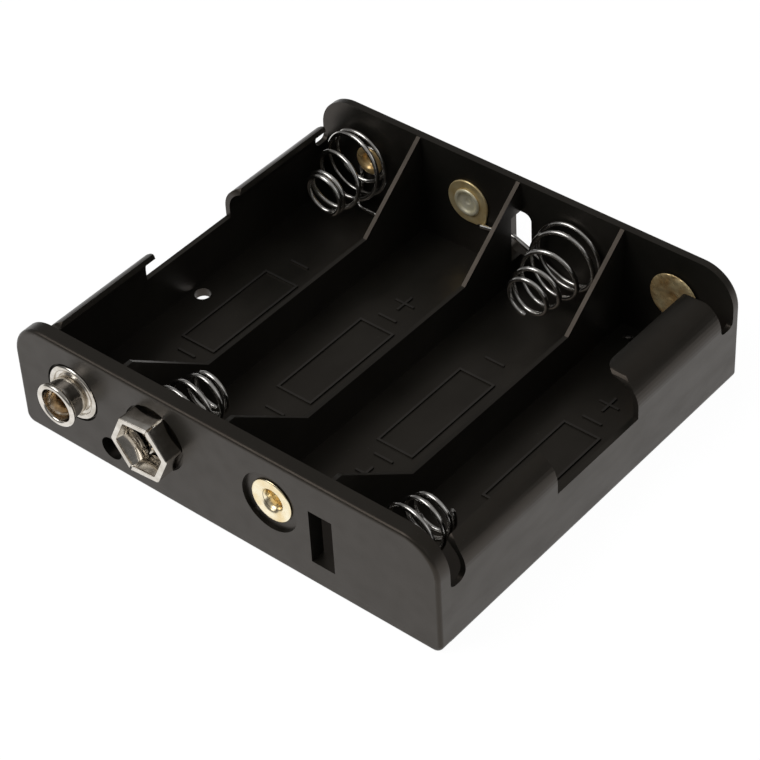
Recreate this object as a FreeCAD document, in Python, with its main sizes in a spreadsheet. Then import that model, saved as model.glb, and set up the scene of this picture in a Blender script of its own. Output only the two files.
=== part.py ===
import FreeCAD, Part
import Sketcher
import math
import os
import re

# Every driving size of the holder, in millimetres; the rest of the file only reads these names.
SIZES = {
    "cell_diameter": 14.5,
    "cell_length": 50.5,
    "cell_play": 0.25,
    "contact_room": 2.0,
    "contact_rise": 0.55,
    "first_drop": 0.3,
    "partition_thickness": 0.55,
    "side_wall": 0.7,
    "front_wall": 2.0,
    "back_wall": 1.2,
    "floor_thickness": 1.2,
    "body_height": 15.5,
    "front_proud": 0.15,
    "top_corner": 4.8,
    "front_corner": 1.2,
    "foot_round": 0.8,
    "front_round": 0.5,
    "back_round": 0.35,
    "lip_drop": 2.7,
    "lip_radius": 3.6,
    "short_reach": 2.4,
    "long_reach": 5.4,
    "lip_nose": 2.8,
    "lip_round": 1.5,
    "lip_nick": 0.5,
    "thumb_width": 15.0,
    "thumb_shift": 0.5,
    "thumb_drop": 1.5,
    "front_gap": 2.75,
    "front_gap_drop": 1.0,
    "front_gap_round": 1.15,
    "back_gap": 2.4,
    "back_gap_drop": 0.7,
    "back_gap_round": 0.8,
    "partition_low": 6.5,
    "partition_front_drop": 0.4,
    "partition_back_drop": 0.1,
    "front_ledge": 1.3,
    "front_slope": 11.5,
    "back_slope": 11.0,
    "window_width": 3.3,
    "window_shift": 0.35,
    "window_sill": 2.2,
    "window_rise": 2.05,
    "slot_width": 3.2,
    "slot_shift": 0.3,
    "slot_sill": 3.3,
    "slot_rise": 2.1,
    "slot_round": 1.05,
    "notch_depth": 1.85,
    "lead_hole_radius": 1.55,
    "lead_hole_shift": 1.6,
    "lead_hole_rise": 0.5,
    "channel_setback": 1.75,
    "channel_width": 0.9,
    "channel_depth": 0.75,
    "channel_hole": 2.2,
    "channel_left": 1.9,
    "channel_right": 2.9,
    "drain_radius": 1.05,
    "drain_setin": 2.1,
    "mark_height": 0.2,
    "mark_line": 0.3,
    "mark_width": 5.3,
    "mark_length": 15.5,
    "mark_shift": 0.75,
    "mark_nub": 2.7,
    "mark_nub_length": 1.9,
    "mark_sign": 2.8,
    "mark_sign_setoff": 3.3,
    "snap_pitch": 12.7,
    "stud_offset": 0.75,
    "sheet_thickness": 0.3,
    "fit_gap": 0.05,
    "stud_radius": 2.87,
    "stud_neck": 2.45,
    "stud_height": 3.0,
    "stud_flange": 3.62,
    "stud_bead": 0.36,
    "stud_recess": 0.5,
    "stud_recess_radius": 3.87,
    "hex_radius": 4.36,
    "hex_height": 2.6,
    "hex_turn": 5.0,
    "hex_recess": 0.55,
    "hex_recess_radius": 4.4,
    "hex_lip": 0.65,
    "hex_grip": 2.85,
    "hex_slit": 0.3,
    "leaf_thickness": 0.24,
    "leaf_gap": 1.0,
    "rivet_hole": 1.4,
    "rivet_mouth": 0.95,
    "rivet_lip": 0.12,
    "snap_head": 1.95,
    "snap_head_crown": 0.18,
    "button_radius": 2.6,
    "button_dome": 0.5,
    "clamp_radius": 2.1,
    "eyelet_radius": 2.87,
    "eyelet_crown": 0.22,
    "eyelet_recess": 0.5,
    "eyelet_recess_radius": 3.95,
    "first_head": 2.0,
    "first_crown": 0.3,
    "tab_head": 1.92,
    "tab_crown": 0.2,
    "tab_radius": 3.05,
    "tab_point_x": 2.57,
    "tab_point_z": 2.93,
    "disc_radius": 3.36,
    "disc_crown": 0.22,
    "loop_recess": 0.35,
    "tail_radius": 2.2,
    "tail_recess": 0.4,
    "tail_recess_radius": 2.5,
    "wire_diameter": 0.6,
    "coil_base_radius": 4.45,
    "coil_tip_radius": 2.6,
    "coil_length": 9.3,
    "front_coil_length": 7.6,
}

# Sizes that follow from the driving ones, as expressions of the sheet's names.
PITCH = "(cell_diameter + cell_play + partition_thickness)"
HALF_WIDTH = f"(2 * {PITCH} - partition_thickness / 2 + side_wall)"
INNER_SIDE = f"({HALF_WIDTH} - side_wall)"
INNER_LENGTH = "(cell_length + contact_room)"
HALF_LENGTH = f"(({INNER_LENGTH} + front_wall + back_wall) / 2)"
FRONT_INNER = f"(front_wall - {HALF_LENGTH})"
BACK_INNER = f"({HALF_LENGTH} - back_wall)"
CONTACT = "(floor_thickness + cell_diameter / 2 + contact_rise)"
LIP_TOP = "(body_height - lip_drop)"
LIP_START = f"({LIP_TOP} - lip_radius)"
THUMB_NEAR = "(thumb_shift - thumb_width / 2)"
THUMB_FAR = "(thumb_shift + thumb_width / 2)"
ABOVE = "(body_height + lip_drop)"
CHANNEL_Y = f"({BACK_INNER} - channel_setback)"
CHANNEL_LEFT = f"(-{PITCH} - channel_left)"
CHANNEL_RIGHT = f"({PITCH} + channel_right)"
FIRST_X, SECOND_X, THIRD_X, FOURTH_X = (f"({share} * {PITCH})" for share in (-1.5, -0.5, 0.5, 1.5))
STUD_X = f"({FIRST_X} + stud_offset)"
HEX_X = f"({STUD_X} + snap_pitch)"
SHANK = "(rivet_hole - fit_gap)"
LOOP = f"({SHANK} + wire_diameter / 2 + fit_gap)"
TAIL = "(tail_recess - back_wall)"
WIRE_CLAMP = "(-front_wall - wire_diameter)"

# Stops of a coil as (turns, share of the way from base to tip radius, share of the coil's length).
EVEN_COIL = ((0, 0, 0.03), (0.5, 0.05, 0.07), (1, 0.2, 0.21), (2, 0.5, 0.54), (3, 0.8, 0.83), (4, 1, 0.98),
             (4.6, 1, 1.04))
LATE_COIL = ((0, 0, 0.03), (0.57, 0, 0.05), (1.57, 0.1, 0.22), (2.57, 0.45, 0.555), (3.57, 0.8, 0.845),
             (4.57, 1, 1.03), (5.07, 1, 1.05))
RAISED_COIL = ((0, 0, 0.11), (1, 0.2, 0.25), (2, 0.5, 0.54), (3, 0.8, 0.83), (4, 1, 0.98), (4.6, 1, 1.04))
BUNCHED_COIL = ((0, 0, 0.11), (1, 0, 0.18), (2, 0.4, 0.54), (3, 0.9, 0.92), (4.5, 1, 1.04))

doc = FreeCAD.newDocument("CellHolder")
sheet = doc.addObject("Spreadsheet::Sheet", "Sizes")


def fill_sheet():
    for row, (name, number) in enumerate(SIZES.items(), start=1):
        sheet.set(f"A{row}", name)
        sheet.set(f"B{row}", str(number))
        sheet.setAlias(f"B{row}", name)
    doc.recompute()


def bound(text):
    # every name with an underscore is a cell of the sheet
    return re.sub(r"\b[a-z]+(?:_[a-z]+)+\b", r"Sizes.\g<0>", text)


def value(text):
    return float(sheet.evalExpression(bound(text)))


def bind(item, path, text):
    item.setExpression(path, bound(text))


def new_body(label):
    body = doc.addObject("PartDesign::Body", label)
    body.Label = label
    return body


def place(item, across, along, up, turn=0):
    # a turned piece is drawn about its own Z, which then points out of the front wall
    outward = FreeCAD.Rotation(FreeCAD.Vector(1, 0, 0), 90)
    about = FreeCAD.Rotation(FreeCAD.Vector(0, 0, 1), turn)
    item.Placement = FreeCAD.Placement(FreeCAD.Vector(), outward.multiply(about))
    bind(item, "Placement.Base.x", across)
    bind(item, "Placement.Base.y", along)
    bind(item, "Placement.Base.z", up)


def origin_plane(body, role):
    return next(item for item in body.Origin.OriginFeatures if item.Role == role)


def new_sketch(body, role, offset="0", turn=0):
    sketch = body.newObject("Sketcher::SketchObject", "Outline")
    sketch.AttachmentSupport = [(origin_plane(body, role), "")]
    sketch.MapMode = "FlatFace"
    sketch.AttachmentOffset = FreeCAD.Placement(FreeCAD.Vector(), FreeCAD.Rotation(FreeCAD.Vector(0, 0, 1), turn))
    bind(sketch, "AttachmentOffset.Base.z", offset)
    return sketch


def pin_point(sketch, geometry, end, across, up):
    # DistanceX and DistanceY from the sketch origin, each bound to its expression
    for kind, axis, text in (("DistanceX", -2, across), ("DistanceY", -1, up)):
        if text == "0":
            sketch.addConstraint(Sketcher.Constraint("PointOnObject", geometry, end, axis))
            continue
        index = sketch.addConstraint(Sketcher.Constraint(kind, -1, 1, geometry, end, value(text)))
        bind(sketch, f"Constraints[{index}]", text)


def side_curve(start, end, radius):
    # a line, or an arc whose centre lies left of the way for a positive radius and right for a negative one
    if not radius:
        return Part.LineSegment(start, end), (1, 2)
    chord = end - start
    rise = math.sqrt(max(radius * radius - chord.Length ** 2 / 4, 0))
    normal = FreeCAD.Vector(-chord.y, chord.x, 0).normalize() * math.copysign(rise, radius)
    centre = (start + end) / 2 + normal
    angles = [math.atan2(spot.y - centre.y, spot.x - centre.x) for spot in (start, end)]
    order = (1, 2) if radius > 0 else (2, 1)
    if radius < 0:
        angles.reverse()
    circle = Part.Circle(centre, FreeCAD.Vector(0, 0, 1), abs(radius))
    return Part.ArcOfCircle(circle, angles[0], angles[1]), order


def outline(sketch, corners):
    # corners are (across, up) or (across, up, radius of the side that follows, bend side)
    spots = [FreeCAD.Vector(value(corner[0]), value(corner[1]), 0) for corner in corners]
    sides = []
    for index, corner in enumerate(corners):
        radius = value(corner[2]) * corner[3] if len(corner) > 2 else 0
        curve, order = side_curve(spots[index], spots[(index + 1) % len(spots)], radius)
        sides.append((sketch.addGeometry(curve, False), order))
    for index, (geometry, order) in enumerate(sides):
        after, after_order = sides[(index + 1) % len(sides)]
        sketch.addConstraint(Sketcher.Constraint("Coincident", geometry, order[1], after, after_order[0]))
        pin_point(sketch, geometry, order[0], corners[index][0], corners[index][1])
        if len(corners[index]) > 2:
            radius = value(corners[index][2])
            mark = sketch.addConstraint(Sketcher.Constraint("Radius", geometry, radius))
            bind(sketch, f"Constraints[{mark}]", corners[index][2])


def circle(sketch, across, up, radius):
    centre = FreeCAD.Vector(value(across), value(up), 0)
    geometry = sketch.addGeometry(Part.Circle(centre, FreeCAD.Vector(0, 0, 1), value(radius)), False)
    pin_point(sketch, geometry, 3, across, up)
    mark = sketch.addConstraint(Sketcher.Constraint("Radius", geometry, value(radius)))
    bind(sketch, f"Constraints[{mark}]", radius)


def box_outline(sketch, left, right, low, high):
    outline(sketch, [(left, low), (right, low), (right, high), (left, high)])


def rectangle(sketch, across, up, width, height):
    box_outline(sketch, f"{across} - {width} / 2", f"{across} + {width} / 2",
                f"{up} - {height} / 2", f"{up} + {height} / 2")


def extrude(body, sketch, length, kind="Pad", reversed_way=False):
    doc.recompute()
    before = body.Shape.Volume if body.Tip else 0
    feature = body.newObject(f"PartDesign::{kind}", kind)
    feature.Profile = sketch
    feature.Type = "Length"
    feature.Reversed = reversed_way
    bind(feature, "Length", length)
    body.Tip = feature
    doc.recompute()
    change = body.Shape.Volume - before
    if (kind == "Pad") != (change > 0):
        raise ValueError(f"{body.Label} {feature.Name} changed the volume by {change}")
    return feature


def round_edges(body, radius, place_value):
    # rounds every edge that lies in the upright plane y = place_value
    doc.recompute()
    base = body.Tip
    names = []
    for index, edge in enumerate(base.Shape.Edges, start=1):
        box = edge.BoundBox
        if max(abs(box.YMin - place_value), abs(box.YMax - place_value)) < 0.01:
            names.append(f"Edge{index}")
    fillet = body.newObject("PartDesign::Fillet", "Rounding")
    fillet.Base = (base, names)
    bind(fillet, "Radius", radius)
    body.Tip = fillet
    doc.recompute()


def lip_tip(reach, radius):
    # end of a curl of this radius about the lip's centre, on the spoke where the lip's outside has this reach
    across = f"({HALF_WIDTH} - lip_radius + {radius} * (1 - {reach} / lip_radius))"
    up = f"({LIP_START} + {radius} * sqrt(1 - (1 - {reach} / lip_radius) ^ 2))"
    return across, up


def trough(body):
    # floor, side walls and short curled lips as one section run from wall to wall
    curl = "(lip_radius - side_wall)"
    outer_x, outer_z = lip_tip("short_reach", "lip_radius")
    inner_x, inner_z = lip_tip("short_reach", curl)
    sketch = new_sketch(body, "XZ_Plane", f"-{BACK_INNER}")
    outline(sketch, [
        (f"foot_round - {HALF_WIDTH}", "0"),
        (f"{HALF_WIDTH} - foot_round", "0", "foot_round", 1),
        (HALF_WIDTH, "foot_round"),
        (HALF_WIDTH, LIP_START, "lip_radius", 1),
        (outer_x, outer_z),
        (inner_x, inner_z, curl, -1),
        (INNER_SIDE, LIP_START),
        (INNER_SIDE, "floor_thickness"),
        (f"-{INNER_SIDE}", "floor_thickness"),
        (f"-{INNER_SIDE}", LIP_START, curl, -1),
        (f"-{inner_x}", inner_z),
        (f"-{outer_x}", outer_z, "lip_radius", 1),
        (f"-{HALF_WIDTH}", LIP_START),
        (f"-{HALF_WIDTH}", "foot_round", "foot_round", 1),
    ])
    extrude(body, sketch, INNER_LENGTH)


def long_lip(body):
    # the fourth cell's rear lip curls further over the cell and has a rounded nose
    curl = "(lip_radius - side_wall)"
    sketch = new_sketch(body, "XZ_Plane", f"-{BACK_INNER}")
    outline(sketch, [
        (*lip_tip("short_reach", "lip_radius"), "lip_radius", 1),
        lip_tip("long_reach", "lip_radius"),
        (*lip_tip("long_reach", curl), curl, -1),
        lip_tip("short_reach", curl),
    ])
    extrude(body, sketch, f"({BACK_INNER} - {THUMB_FAR})")
    tip = f"({HALF_WIDTH} - long_reach)"
    nose = new_sketch(body, "XY_Plane", LIP_TOP)
    outline(nose, [
        (f"{tip} - side_wall", THUMB_FAR),
        (f"{tip} + lip_nose", THUMB_FAR, "lip_nose", -1),
        (tip, f"{THUMB_FAR} + lip_nose"),
        (f"{tip} - side_wall", f"{THUMB_FAR} + lip_nose"),
    ])
    extrude(body, nose, "lip_radius", "Pocket")


def end_wall(body, plane, thickness, half, corner):
    sketch = new_sketch(body, "XZ_Plane", plane)
    outline(sketch, [
        (f"{corner} - {half}", "0"),
        (f"{half} - {corner}", "0", corner, 1),
        (half, corner),
        (half, "body_height - top_corner", "top_corner", 1),
        (f"{half} - top_corner", "body_height"),
        (f"top_corner - {half}", "body_height", "top_corner", 1),
        (f"-{half}", "body_height - top_corner"),
        (f"-{half}", corner, corner, 1),
    ])
    extrude(body, sketch, thickness)


def partition(body, step):
    sketch = new_sketch(body, "YZ_Plane", f"{step} * {PITCH} - partition_thickness / 2")
    outline(sketch, [
        (FRONT_INNER, "0"),
        (BACK_INNER, "0"),
        (BACK_INNER, "body_height - partition_back_drop"),
        (f"{BACK_INNER} - back_slope", "partition_low"),
        (f"{FRONT_INNER} + front_ledge + front_slope", "partition_low"),
        (f"{FRONT_INNER} + front_ledge", "body_height - partition_front_drop"),
        (FRONT_INNER, "body_height - partition_front_drop"),
    ])
    extrude(body, sketch, "partition_thickness")


def lip_gaps(body):
    # thumb cut-out in the middle of each lip and a gap beside each end wall
    sketch = new_sketch(body, "YZ_Plane", f"{HALF_WIDTH} - long_reach - side_wall")
    thumb_floor = f"({LIP_START} - thumb_drop)"
    outline(sketch, [
        (THUMB_NEAR, thumb_floor),
        (THUMB_FAR, thumb_floor),
        (THUMB_FAR, f"{LIP_TOP} - lip_round", "lip_round", -1),
        (f"{THUMB_FAR} + lip_round", LIP_TOP),
        (f"{THUMB_FAR} + lip_round", ABOVE),
        (f"{THUMB_NEAR} - lip_nick", ABOVE),
        (f"{THUMB_NEAR} - lip_nick", LIP_TOP, "lip_nick", -1),
        (THUMB_NEAR, f"{LIP_TOP} - lip_nick"),
    ])
    front = f"({FRONT_INNER} + front_gap)"
    front_floor = f"({LIP_START} - front_gap_drop)"
    outline(sketch, [
        (FRONT_INNER, f"{front_floor} + front_gap_round", "front_gap_round", 1),
        (f"{FRONT_INNER} + front_gap_round", front_floor),
        (f"{front} - front_gap_round", front_floor, "front_gap_round", 1),
        (front, f"{front_floor} + front_gap_round"),
        (front, f"{LIP_TOP} - lip_round", "lip_round", -1),
        (f"{front} + lip_round", LIP_TOP),
        (f"{front} + lip_round", ABOVE),
        (FRONT_INNER, ABOVE),
    ])
    back = f"({BACK_INNER} - back_gap)"
    back_floor = f"({LIP_START} - back_gap_drop)"
    outline(sketch, [
        (f"{back} + back_gap_round", back_floor),
        (f"{BACK_INNER} - back_gap_round", back_floor, "back_gap_round", 1),
        (BACK_INNER, f"{back_floor} + back_gap_round"),
        (BACK_INNER, ABOVE),
        (f"{back} - lip_nick", ABOVE),
        (f"{back} - lip_nick", LIP_TOP, "lip_nick", -1),
        (back, f"{LIP_TOP} - lip_nick"),
        (back, f"{back_floor} + back_gap_round", "back_gap_round", 1),
    ])
    pocket = extrude(body, sketch, "long_reach + 2 * side_wall", "Pocket", True)
    mirror = body.newObject("PartDesign::Mirrored", "OtherSide")
    mirror.Originals = [pocket]
    mirror.MirrorPlane = (origin_plane(body, "YZ_Plane"), [""])
    body.Tip = mirror
    doc.recompute()


def front_cuts(body):
    # wire window with its partition notch, lead hole, the three recesses and their rivet holes
    window = new_sketch(body, "XZ_Plane", HALF_LENGTH)
    middle = f"({PITCH} - window_shift)"
    box_outline(window, f"{middle} - window_width / 2", f"{middle} + window_width / 2",
                "floor_thickness + window_sill", f"{CONTACT} + window_rise")
    extrude(body, window, "front_wall + notch_depth", "Pocket")
    for across, radius, depth in (
        (STUD_X, "stud_recess_radius", "stud_recess"),
        (HEX_X, "hex_recess_radius", "hex_recess"),
        (THIRD_X, "eyelet_recess_radius", "eyelet_recess"),
    ):
        recess = new_sketch(body, "XZ_Plane", HALF_LENGTH)
        circle(recess, across, CONTACT, radius)
        extrude(body, recess, depth, "Pocket")
    holes = new_sketch(body, "XZ_Plane", HALF_LENGTH)
    for across in (STUD_X, HEX_X, THIRD_X):
        circle(holes, across, CONTACT, "rivet_hole")
    circle(holes, f"-{PITCH} - lead_hole_shift", "floor_thickness + lead_hole_radius + lead_hole_rise",
           "lead_hole_radius")
    extrude(body, holes, "front_wall", "Pocket")


def back_cuts(body):
    # rounded wire slot with its notch, the end loop's recess, rivet holes and the recesses of their tails
    slot = new_sketch(body, "XZ_Plane", f"-{HALF_LENGTH}")
    left, right = "slot_shift - slot_width / 2", "slot_shift + slot_width / 2"
    low, high = "(floor_thickness + slot_sill)", f"({CONTACT} + slot_rise)"
    outline(slot, [
        (f"{left} + slot_round", low),
        (f"{right} - slot_round", low, "slot_round", 1),
        (right, f"{low} + slot_round"),
        (right, f"{high} - slot_round", "slot_round", 1),
        (f"{right} - slot_round", high),
        (f"{left} + slot_round", high, "slot_round", 1),
        (left, f"{high} - slot_round"),
        (left, f"{low} + slot_round", "slot_round", 1),
    ])
    extrude(body, slot, "back_wall + notch_depth", "Pocket", True)
    seat = new_sketch(body, "XZ_Plane", f"-{BACK_INNER}")
    circle(seat, FOURTH_X, CONTACT, f"({LOOP} + wire_diameter / 2 + fit_gap)")
    extrude(body, seat, "loop_recess", "Pocket")
    groove = new_sketch(body, "XZ_Plane", f"-{BACK_INNER}")
    middle = f"({FOURTH_X} - {LOOP})"
    half = "(wire_diameter / 2 + fit_gap)"
    box_outline(groove, f"{middle} - {half}", f"{middle} + {half}",
                f"{CONTACT} - disc_radius - 2 * wire_diameter", CONTACT)
    extrude(body, groove, "loop_recess", "Pocket")
    places = ((FIRST_X, f"({CONTACT} - first_drop)"), (SECOND_X, CONTACT), (FOURTH_X, CONTACT))
    for radius, depth in (("tail_recess_radius", "tail_recess"), ("rivet_hole", "back_wall")):
        sketch = new_sketch(body, "XZ_Plane", f"-{HALF_LENGTH}")
        for across, up in places:
            circle(sketch, across, up, radius)
        extrude(body, sketch, depth, "Pocket", True)


def floor_cuts(body):
    # drain hole, channel under the floor for the long wire and the two holes it dips through
    drain = new_sketch(body, "XY_Plane", "floor_thickness")
    circle(drain, f"drain_setin - {HALF_WIDTH}", "thumb_shift", "drain_radius")
    extrude(body, drain, "floor_thickness", "Pocket")
    low, high = f"{CHANNEL_Y} - channel_width / 2", f"{CHANNEL_Y} + channel_width / 2"
    channel = new_sketch(body, "XY_Plane", "channel_depth")
    box_outline(channel, CHANNEL_LEFT, CHANNEL_RIGHT, low, high)
    extrude(body, channel, "channel_depth", "Pocket")
    holes = new_sketch(body, "XY_Plane", "floor_thickness")
    for middle in (CHANNEL_LEFT, CHANNEL_RIGHT):
        box_outline(holes, f"{middle} - channel_hole / 2", f"{middle} + channel_hole / 2", low, high)
    extrude(body, holes, "floor_thickness", "Pocket")


def floor_marks(body):
    # cell outline, its nub and a plus and a minus, raised a little from each bay's floor
    sketch = new_sketch(body, "XY_Plane", "floor_thickness")
    for across, way in ((FIRST_X, -1), (SECOND_X, 1), (THIRD_X, -1), (FOURTH_X, 1)):
        rectangle(sketch, across, "mark_shift", "mark_width", "mark_length")
        rectangle(sketch, across, "mark_shift", "(mark_width - 2 * mark_line)", "(mark_length - 2 * mark_line)")
        nub_end = f"(mark_shift + {way} * (mark_length / 2 + mark_nub_length))"
        rectangle(sketch, across, nub_end, "mark_nub", "mark_line")
        plus_sign(sketch, across, f"({nub_end} + {way} * mark_sign_setoff)")
        minus = f"(mark_shift - {way} * (mark_length / 2 + mark_sign_setoff))"
        rectangle(sketch, across, minus, "mark_sign", "mark_line")
    extrude(body, sketch, "mark_height")


def plus_sign(sketch, across, along):
    # twelve corners, each quarter's three in turn: one arm's side, the inner corner, the next arm's side
    arm, half = "mark_sign / 2", "mark_line / 2"
    corners = []
    for side_x, side_y in ((1, 1), (-1, 1), (-1, -1), (1, -1)):
        quarter = [(arm, half), (half, half), (half, arm)]
        if side_x * side_y < 0:
            quarter.reverse()
        corners += [(f"{across} + {side_x} * {reach_x}", f"{along} + {side_y} * {reach_y}")
                    for reach_x, reach_y in quarter]
    outline(sketch, corners)


def make_holder():
    body = new_body("holder_body")
    trough(body)
    long_lip(body)
    end_wall(body, f"({HALF_LENGTH} - front_wall)", "front_wall", f"({HALF_WIDTH} + front_proud)", "front_corner")
    end_wall(body, f"-{HALF_LENGTH}", "back_wall", HALF_WIDTH, "foot_round")
    for step in (-1, 0, 1):
        partition(body, step)
    lip_gaps(body)
    round_edges(body, "front_round", -value(HALF_LENGTH))
    round_edges(body, "back_round", value(HALF_LENGTH))
    front_cuts(body)
    back_cuts(body)
    floor_cuts(body)
    floor_marks(body)
    return body


def spin(label, corners, across, along, up):
    # full turn of a half section drawn as (radius, height) about the piece's own Z
    body = new_body(label)
    sketch = new_sketch(body, "XZ_Plane")
    outline(sketch, corners)
    doc.recompute()
    turn = body.newObject("PartDesign::Revolution", "Turned")
    turn.Profile = sketch
    turn.ReferenceAxis = (sketch, ["V_Axis"])
    turn.Angle = 360
    body.Tip = turn
    doc.recompute()
    place(body, across, along, up)
    return body


def make_stud():
    # pressed cup with a beaded rim on a beaded flange, its plate on the recess floor
    plate = "(sheet_thickness - stud_recess)"
    ring = "(stud_bead - stud_recess)"
    rim = "(stud_height - stud_bead)"
    neck_top = f"({rim} - sqrt(stud_bead ^ 2 - (stud_radius - stud_bead - stud_neck) ^ 2))"
    bore = "(stud_radius - 2 * stud_bead)"
    return spin("stud_snap", [
        ("rivet_hole", "-stud_recess"),
        ("stud_flange - stud_bead", "-stud_recess", "stud_bead", 1),
        ("stud_flange", ring, "stud_bead", 1),
        ("stud_flange - stud_bead", f"{ring} + stud_bead", "stud_bead", 1),
        ("stud_flange - 2 * stud_bead", ring),
        ("stud_flange - 2 * stud_bead", plate),
        ("stud_neck", plate),
        ("stud_neck", neck_top, "stud_bead", 1),
        ("stud_radius", rim, "stud_bead", 1),
        ("stud_radius - stud_bead", "stud_height", "stud_bead", 1),
        (bore, rim),
        (bore, plate),
        ("rivet_hole", plate),
    ], STUD_X, f"-{HALF_LENGTH}", CONTACT)


def hexagon(sketch, apothem):
    corner = f"({apothem} * 2 / sqrt(3))"
    outline(sketch, [(corner, "0"), (f"{corner} / 2", apothem), (f"-{corner} / 2", apothem),
                     (f"-{corner}", "0"), (f"-{corner} / 2", f"-{apothem}"), (f"{corner} / 2", f"-{apothem}")])


def loft(body, kind, lower, upper):
    # lower and upper are (apothem, height) of two hexagons
    sketches = []
    for apothem, height in (lower, upper):
        sketch = new_sketch(body, "XY_Plane", height)
        hexagon(sketch, apothem)
        sketches.append(sketch)
    doc.recompute()
    feature = body.newObject(f"PartDesign::{kind}", kind)
    feature.Profile = sketches[0]
    feature.Sections = [sketches[1]]
    feature.Ruled = True
    body.Tip = feature
    doc.recompute()


def slit(body, turn, top, length, depth):
    sketch = new_sketch(body, "XY_Plane", top, turn)
    box_outline(sketch, f"-{length} / 2", f"{length} / 2", "-hex_slit / 2", "hex_slit / 2")
    extrude(body, sketch, depth, "Pocket")


def make_hex():
    # six-sided socket: base plate, walls, inturned lip and the gripping leaves below it
    body = new_body("hex_snap")
    plate_top = "(sheet_thickness - hex_recess)"
    under_lip = "(hex_height - sheet_thickness)"
    flat = "(hex_radius * sqrt(3) / 2)"
    cavity = f"({flat} - sheet_thickness)"
    mouth = f"({flat} - hex_lip)"
    outer = new_sketch(body, "XY_Plane", "-hex_recess")
    hexagon(outer, flat)
    extrude(body, outer, "hex_height + hex_recess")
    inner = new_sketch(body, "XY_Plane", "hex_height")
    hexagon(inner, cavity)
    extrude(body, inner, f"hex_height - {plate_top}", "Pocket")
    cover = new_sketch(body, "XY_Plane", under_lip)
    hexagon(cover, cavity)
    extrude(body, cover, "sheet_thickness")
    leaf_end = f"({plate_top} + leaf_gap)"
    outside = f"({mouth} + leaf_thickness)"
    loft(body, "AdditiveLoft", ("(hex_grip + leaf_thickness)", leaf_end), (outside, under_lip))
    loft(body, "SubtractiveLoft", ("hex_grip", leaf_end), (mouth, "hex_height"))
    slit(body, 60, "hex_height", "(2 * hex_radius + hex_slit)", f"hex_height - {plate_top}")
    for turn in (0, 120):
        slit(body, turn, under_lip, f"({outside} * 4 / sqrt(3))", f"{under_lip} - {plate_top}")
    hole = new_sketch(body, "XY_Plane", plate_top)
    circle(hole, "0", "0", "rivet_hole")
    extrude(body, hole, "sheet_thickness", "Pocket")
    place(body, HEX_X, f"-{HALF_LENGTH}", CONTACT, value("hex_turn"))
    return body


def arc_radius(span, rise):
    # radius of the arc that rises this much over half the span
    return f"((({span}) ^ 2 + {rise} ^ 2) / (2 * {rise}))"


def rivet(label, spot, seat, foot, head, crown, foot_radius, mouth_floor, dome=None):
    # crowned head round a blind mouth, a shank, and a foot that is flat or, with a dome, a contact button
    lip = f"({seat} + rivet_lip)"
    end = f"({foot} - sheet_thickness)"
    corners = [
        ("0", mouth_floor),
        ("rivet_mouth", mouth_floor),
        ("rivet_mouth", lip, arc_radius(f"({head} - rivet_mouth) / 2", crown), -1),
        (head, lip),
        (head, seat),
        (SHANK, seat),
        (SHANK, foot),
        (foot_radius, foot),
    ]
    if dome:
        corners += [(foot_radius, end, arc_radius(foot_radius, dome), -1), ("0", f"{end} - {dome}")]
    else:
        corners += [(foot_radius, end), ("0", end)]
    return spin(label, corners, *spot)


def make_stud_rivet():
    # holds the stud; its foot is the first cell's plus contact
    seat = "(sheet_thickness - stud_recess)"
    return rivet("stud_rivet", (STUD_X, f"-{HALF_LENGTH}", CONTACT), seat, "(-front_wall)", "snap_head",
                 "snap_head_crown", "button_radius", "(-front_wall)", "button_dome")


def make_hex_rivet():
    # goes through the socket, the wall and the second spring's base loop
    seat = "(sheet_thickness - hex_recess)"
    return rivet("hex_rivet", (HEX_X, f"-{HALF_LENGTH}", CONTACT), seat, WIRE_CLAMP, "snap_head",
                 "snap_head_crown", "clamp_radius", WIRE_CLAMP)


def make_front_eyelet():
    # collar in the front recess; its foot over the wire loop is the third cell's plus contact
    return rivet("eyelet_three", (THIRD_X, f"-{HALF_LENGTH}", CONTACT), "(-eyelet_recess)", WIRE_CLAMP,
                 "eyelet_radius", "eyelet_crown", "button_radius", "(-front_wall)", "button_dome")


def make_first_eyelet():
    # clamps the base loop of the first spring
    return rivet("eyelet_one", (FIRST_X, BACK_INNER, f"{CONTACT} - first_drop"), "wire_diameter", TAIL,
                 "first_head", "first_crown", "tail_radius", "(fit_gap * 2)")


def make_tab():
    # drop-shaped tab whose point reaches for the link wire of the third spring
    body = new_body("tab_two")
    sketch = new_sketch(body, "XY_Plane")
    spread = "(tab_point_x ^ 2 + tab_point_z ^ 2)"
    inward = f"(tab_radius ^ 2 / {spread})"
    aside = f"(tab_radius * sqrt({spread} - tab_radius ^ 2) / {spread})"
    outline(sketch, [
        ("tab_point_x", "-tab_point_z"),
        (f"{inward} * tab_point_x + {aside} * tab_point_z", f"{aside} * tab_point_x - {inward} * tab_point_z",
         "tab_radius", 1),
        ("0", "tab_radius", "tab_radius", 1),
        ("-tab_radius", "0", "tab_radius", 1),
        (f"{inward} * tab_point_x - {aside} * tab_point_z", f"-{aside} * tab_point_x - {inward} * tab_point_z"),
    ])
    circle(sketch, "0", "0", "rivet_hole")
    extrude(body, sketch, "sheet_thickness")
    place(body, SECOND_X, BACK_INNER, CONTACT)
    return body


def make_tab_eyelet():
    # low dished eyelet that holds the tab
    return rivet("eyelet_two", (SECOND_X, BACK_INNER, CONTACT), "sheet_thickness", TAIL, "tab_head", "tab_crown",
                 "tail_radius", "(fit_gap * 2)")


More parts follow.
